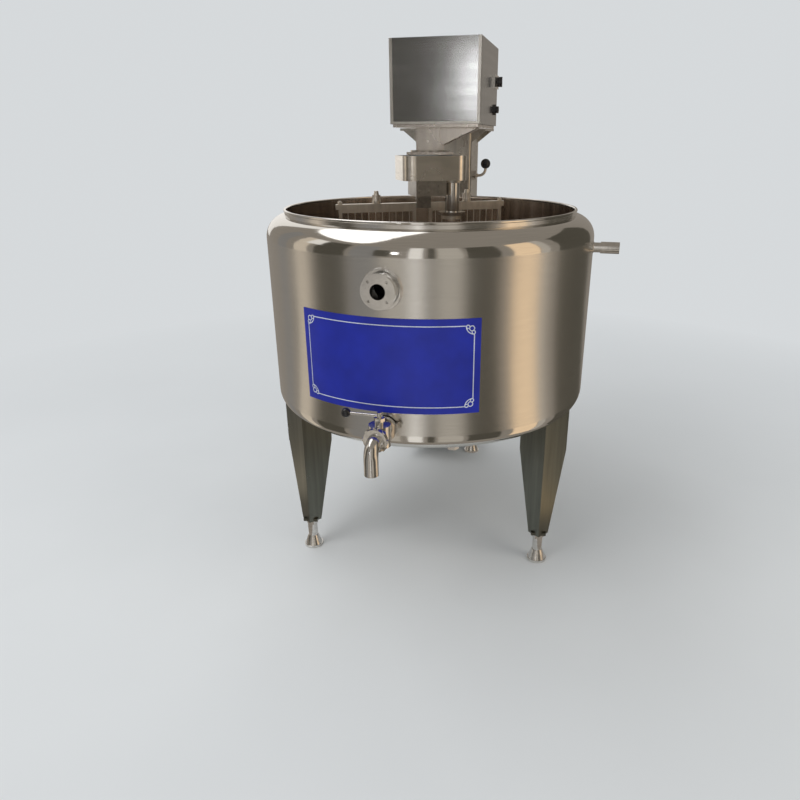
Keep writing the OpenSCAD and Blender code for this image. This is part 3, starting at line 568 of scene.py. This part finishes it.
def addFloor(f, b):
    mat, nodes, links, shader, coords = startFinish("paleFloor")
    broad = addNoise(nodes, links, coords, f["patches"], detail=3)
    pale = addRamp(nodes, links, broad, [(0.3, f["darker"]), (0.7, f["paler"])])
    reach = nodes.new("ShaderNodeVectorMath")
    reach.operation = "LENGTH"
    links.new(coords.outputs["Object"], reach.inputs[0])
    near = addRange(nodes, links, reach.outputs["Value"], 1, 0, f["fadeFrom"], f["fadeTo"])
    far = addRange(nodes, links, reach.outputs["Value"], 0, b["seen"], f["fadeFrom"], f["fadeTo"])
    dim = nodes.new("ShaderNodeVectorMath")
    dim.operation = "SCALE"
    links.new(pale, dim.inputs[0])
    links.new(near, dim.inputs["Scale"])
    links.new(dim.outputs["Vector"], shader.inputs["Base Color"])
    shader.inputs["Emission Color"].default_value = (*b["colour"], 1)
    links.new(far, shader.inputs["Emission Strength"])
    shader.inputs["Roughness"].default_value = f["rough"]
    shader.inputs["Specular IOR Level"].default_value = 0
    bm = bmesh.new()
    bmesh.ops.create_grid(bm, x_segments=2, y_segments=2, size=f["size"])
    mesh = bpy.data.meshes.new("floor")
    bm.to_mesh(mesh)
    bm.free()
    mesh.materials.append(mat)
    obj = bpy.data.objects.new("floor", mesh)
    scene.collection.objects.link(obj)


# what the polished steel mirrors: seen in reflections only, never by the eye or as light on the floor
def stageMirrored(name, bm, colour, glow):
    mat = bpy.data.materials.new(name)
    mat.use_nodes = True
    nodes = mat.node_tree.nodes
    nodes.remove(nodes["Principled BSDF"])
    emit = nodes.new("ShaderNodeEmission")
    emit.inputs["Color"].default_value = (*colour, 1)
    emit.inputs["Strength"].default_value = glow
    mat.node_tree.links.new(emit.outputs["Emission"], nodes["Material Output"].inputs["Surface"])
    bmesh.ops.translate(bm, verts=bm.verts, vec=(vesselX, vesselY, 0))
    mesh = bpy.data.meshes.new(name)
    bm.to_mesh(mesh)
    bm.free()
    mesh.materials.append(mat)
    obj = bpy.data.objects.new(name, mesh)
    scene.collection.objects.link(obj)
    obj.visible_camera = False
    obj.visible_diffuse = False
    obj.visible_shadow = False


# a dim room for the steel to mirror: a wall, a ceiling and the floor beyond the feet
roomSet = {
    "radius": 4.4, "height": 5.6, "near": 0.5, "lift": 0.002,
    "colour": (0.30, 0.27, 0.235), "glow": 0.95,
}


def addRoom(r):
    bm = bmesh.new()
    foot = bmesh.ops.create_circle(bm, segments=96, radius=r["radius"])["verts"]
    bmesh.ops.translate(bm, verts=foot, vec=(0, 0, r["lift"]))
    footEdges = bm.edges[:]
    ring = bmesh.ops.extrude_edge_only(bm, edges=footEdges)["geom"]
    inner = [g for g in ring if isinstance(g, bmesh.types.BMVert)]
    bmesh.ops.scale(bm, verts=inner, vec=(r["near"] / r["radius"], r["near"] / r["radius"], 1))
    wall = bmesh.ops.extrude_edge_only(bm, edges=footEdges)["geom"]
    top = [g for g in wall if isinstance(g, bmesh.types.BMVert)]
    bmesh.ops.translate(bm, verts=top, vec=(0, 0, r["height"]))
    bmesh.ops.contextual_create(bm, geom=top)
    stageMirrored("room", bm, r["colour"], r["glow"])


# upright cards: those that stand on the floor have an apron that runs in to the vat
def addCard(name, swing, width, tone, low=0.004, high=3.4, away=3.6, nearEnd=0.72, standing=0.1):
    bm = bmesh.new()
    bmesh.ops.create_grid(bm, x_segments=1, y_segments=1, size=0.5)
    bmesh.ops.scale(bm, verts=bm.verts, vec=(width, high - low, 1))
    bmesh.ops.rotate(bm, verts=bm.verts, cent=(0, 0, 0), matrix=Matrix.Rotation(pi / 2, 3, "X"))
    bmesh.ops.translate(bm, verts=bm.verts, vec=(0, -away, (low + high) / 2))
    if low < standing:
        foot = [e for e in bm.edges if all(v.co.z < standing for v in e.verts)]
        grown = bmesh.ops.extrude_edge_only(bm, edges=foot)["geom"]
        apron = [g for g in grown if isinstance(g, bmesh.types.BMVert)]
        bmesh.ops.scale(bm, verts=apron, vec=(nearEnd / away, nearEnd / away, 1))
    bmesh.ops.rotate(bm, verts=bm.verts, cent=(0, 0, 0), matrix=Matrix.Rotation(radians(swing), 3, "Z"))
    stageMirrored(name, bm, *tones[tone])


# the tones that the cards are painted in, as colour and glow
tones = {
    "dark": ((0.11, 0.10, 0.08), 0.8),
    "dim": ((0.28, 0.27, 0.26), 0.9),
    "mid": ((0.55, 0.51, 0.45), 0.9),
    "warm": ((0.90, 0.79, 0.65), 0.75),
    "pale": ((0.95, 0.92, 0.88), 1.0),
    "gold": ((1.00, 0.75, 0.50), 1.0),
    "spot": ((1.00, 1.00, 1.00), 8.0),
}
# swing from the front in degrees, width in metres and tone, with low and high edges where they matter
cards = [
    (-150, 3.40, "pale", 0.9, 4.6), (-98, 0.80, "dim"), (-76, 0.85, "warm"), (-52, 1.50, "dark"),
    (-28, 1.10, "dim"), (-10, 0.80, "mid", 0.004, 0.95), (5, 0.55, "pale"), (14.5, 0.26, "dark"),
    (26, 0.95, "mid"), (47, 1.35, "dark"), (76, 1.25, "gold"), (90, 0.45, "mid"), (126, 3.00, "dark"),
    (-16, 0.62, "dark", 1.12, 2.4), (-7.6, 0.12, "spot", 1.50, 1.94), (-70, 1.60, "pale", 2.2, 3.4),
]


# only the top lamp shows in the steel
lampSet = {
    "keyLamp": {"place": (-2.4, -2.8, 3.9), "aim": (0, 0, 0.9), "size": (3.0, 3.0), "power": 52},
    "fillLamp": {
        "place": (3.2, -1.0, 3.2), "aim": (0, 0, 0.9), "size": (2.2, 2.6), "power": 28,
        "colour": (1.0, 0.95, 0.88),
    },
    "topLamp": {
        "place": (-1.9, 0.3, 4.4), "aim": (-1.2, 0.2, 1.0), "size": (6.4, 2.6), "power": 62,
        "mirrored": True,
    },
}


def addLamp(name, place, aim, size, power, colour=(1, 1, 1), mirrored=False):
    lamp = bpy.data.lights.new(name, "AREA")
    lamp.shape = "ELLIPSE"
    lamp.size, lamp.size_y = size
    lamp.energy = power
    lamp.color = colour
    obj = bpy.data.objects.new(name, lamp)
    obj.location = place
    obj.rotation_euler = (Vector(aim) - Vector(place)).to_track_quat("-Z", "Y").to_euler()
    obj.visible_glossy = mirrored
    scene.collection.objects.link(obj)


# pale for the eye, mirrors and glass and dimmer as fill light, though the room hides it from mirrors
def addWorld(b):
    world = bpy.data.worlds.new("studio")
    world.use_nodes = True
    nodes, links = world.node_tree.nodes, world.node_tree.links
    back = nodes["Background"]
    back.inputs["Color"].default_value = (*b["colour"], 1)
    path = nodes.new("ShaderNodeLightPath")
    seen = path.outputs["Is Camera Ray"]
    for ray in ("Is Glossy Ray", "Is Transmission Ray"):
        either = nodes.new("ShaderNodeMath")
        either.operation = "MAXIMUM"
        links.new(seen, either.inputs[0])
        links.new(path.outputs[ray], either.inputs[1])
        seen = either.outputs[0]
    level = nodes.new("ShaderNodeMapRange")
    level.inputs["To Min"].default_value = b["fill"]
    level.inputs["To Max"].default_value = b["seen"]
    links.new(seen, level.inputs["Value"])
    links.new(level.outputs["Result"], back.inputs["Strength"])
    scene.world = world


addFloor(floorSet, backSet)
addRoom(roomSet)
for number, card in enumerate(cards):
    addCard("card%02d" % number, *card)
for name, lamp in lampSet.items():
    addLamp(name, **lamp)
addWorld(backSet)
print("stage lit")
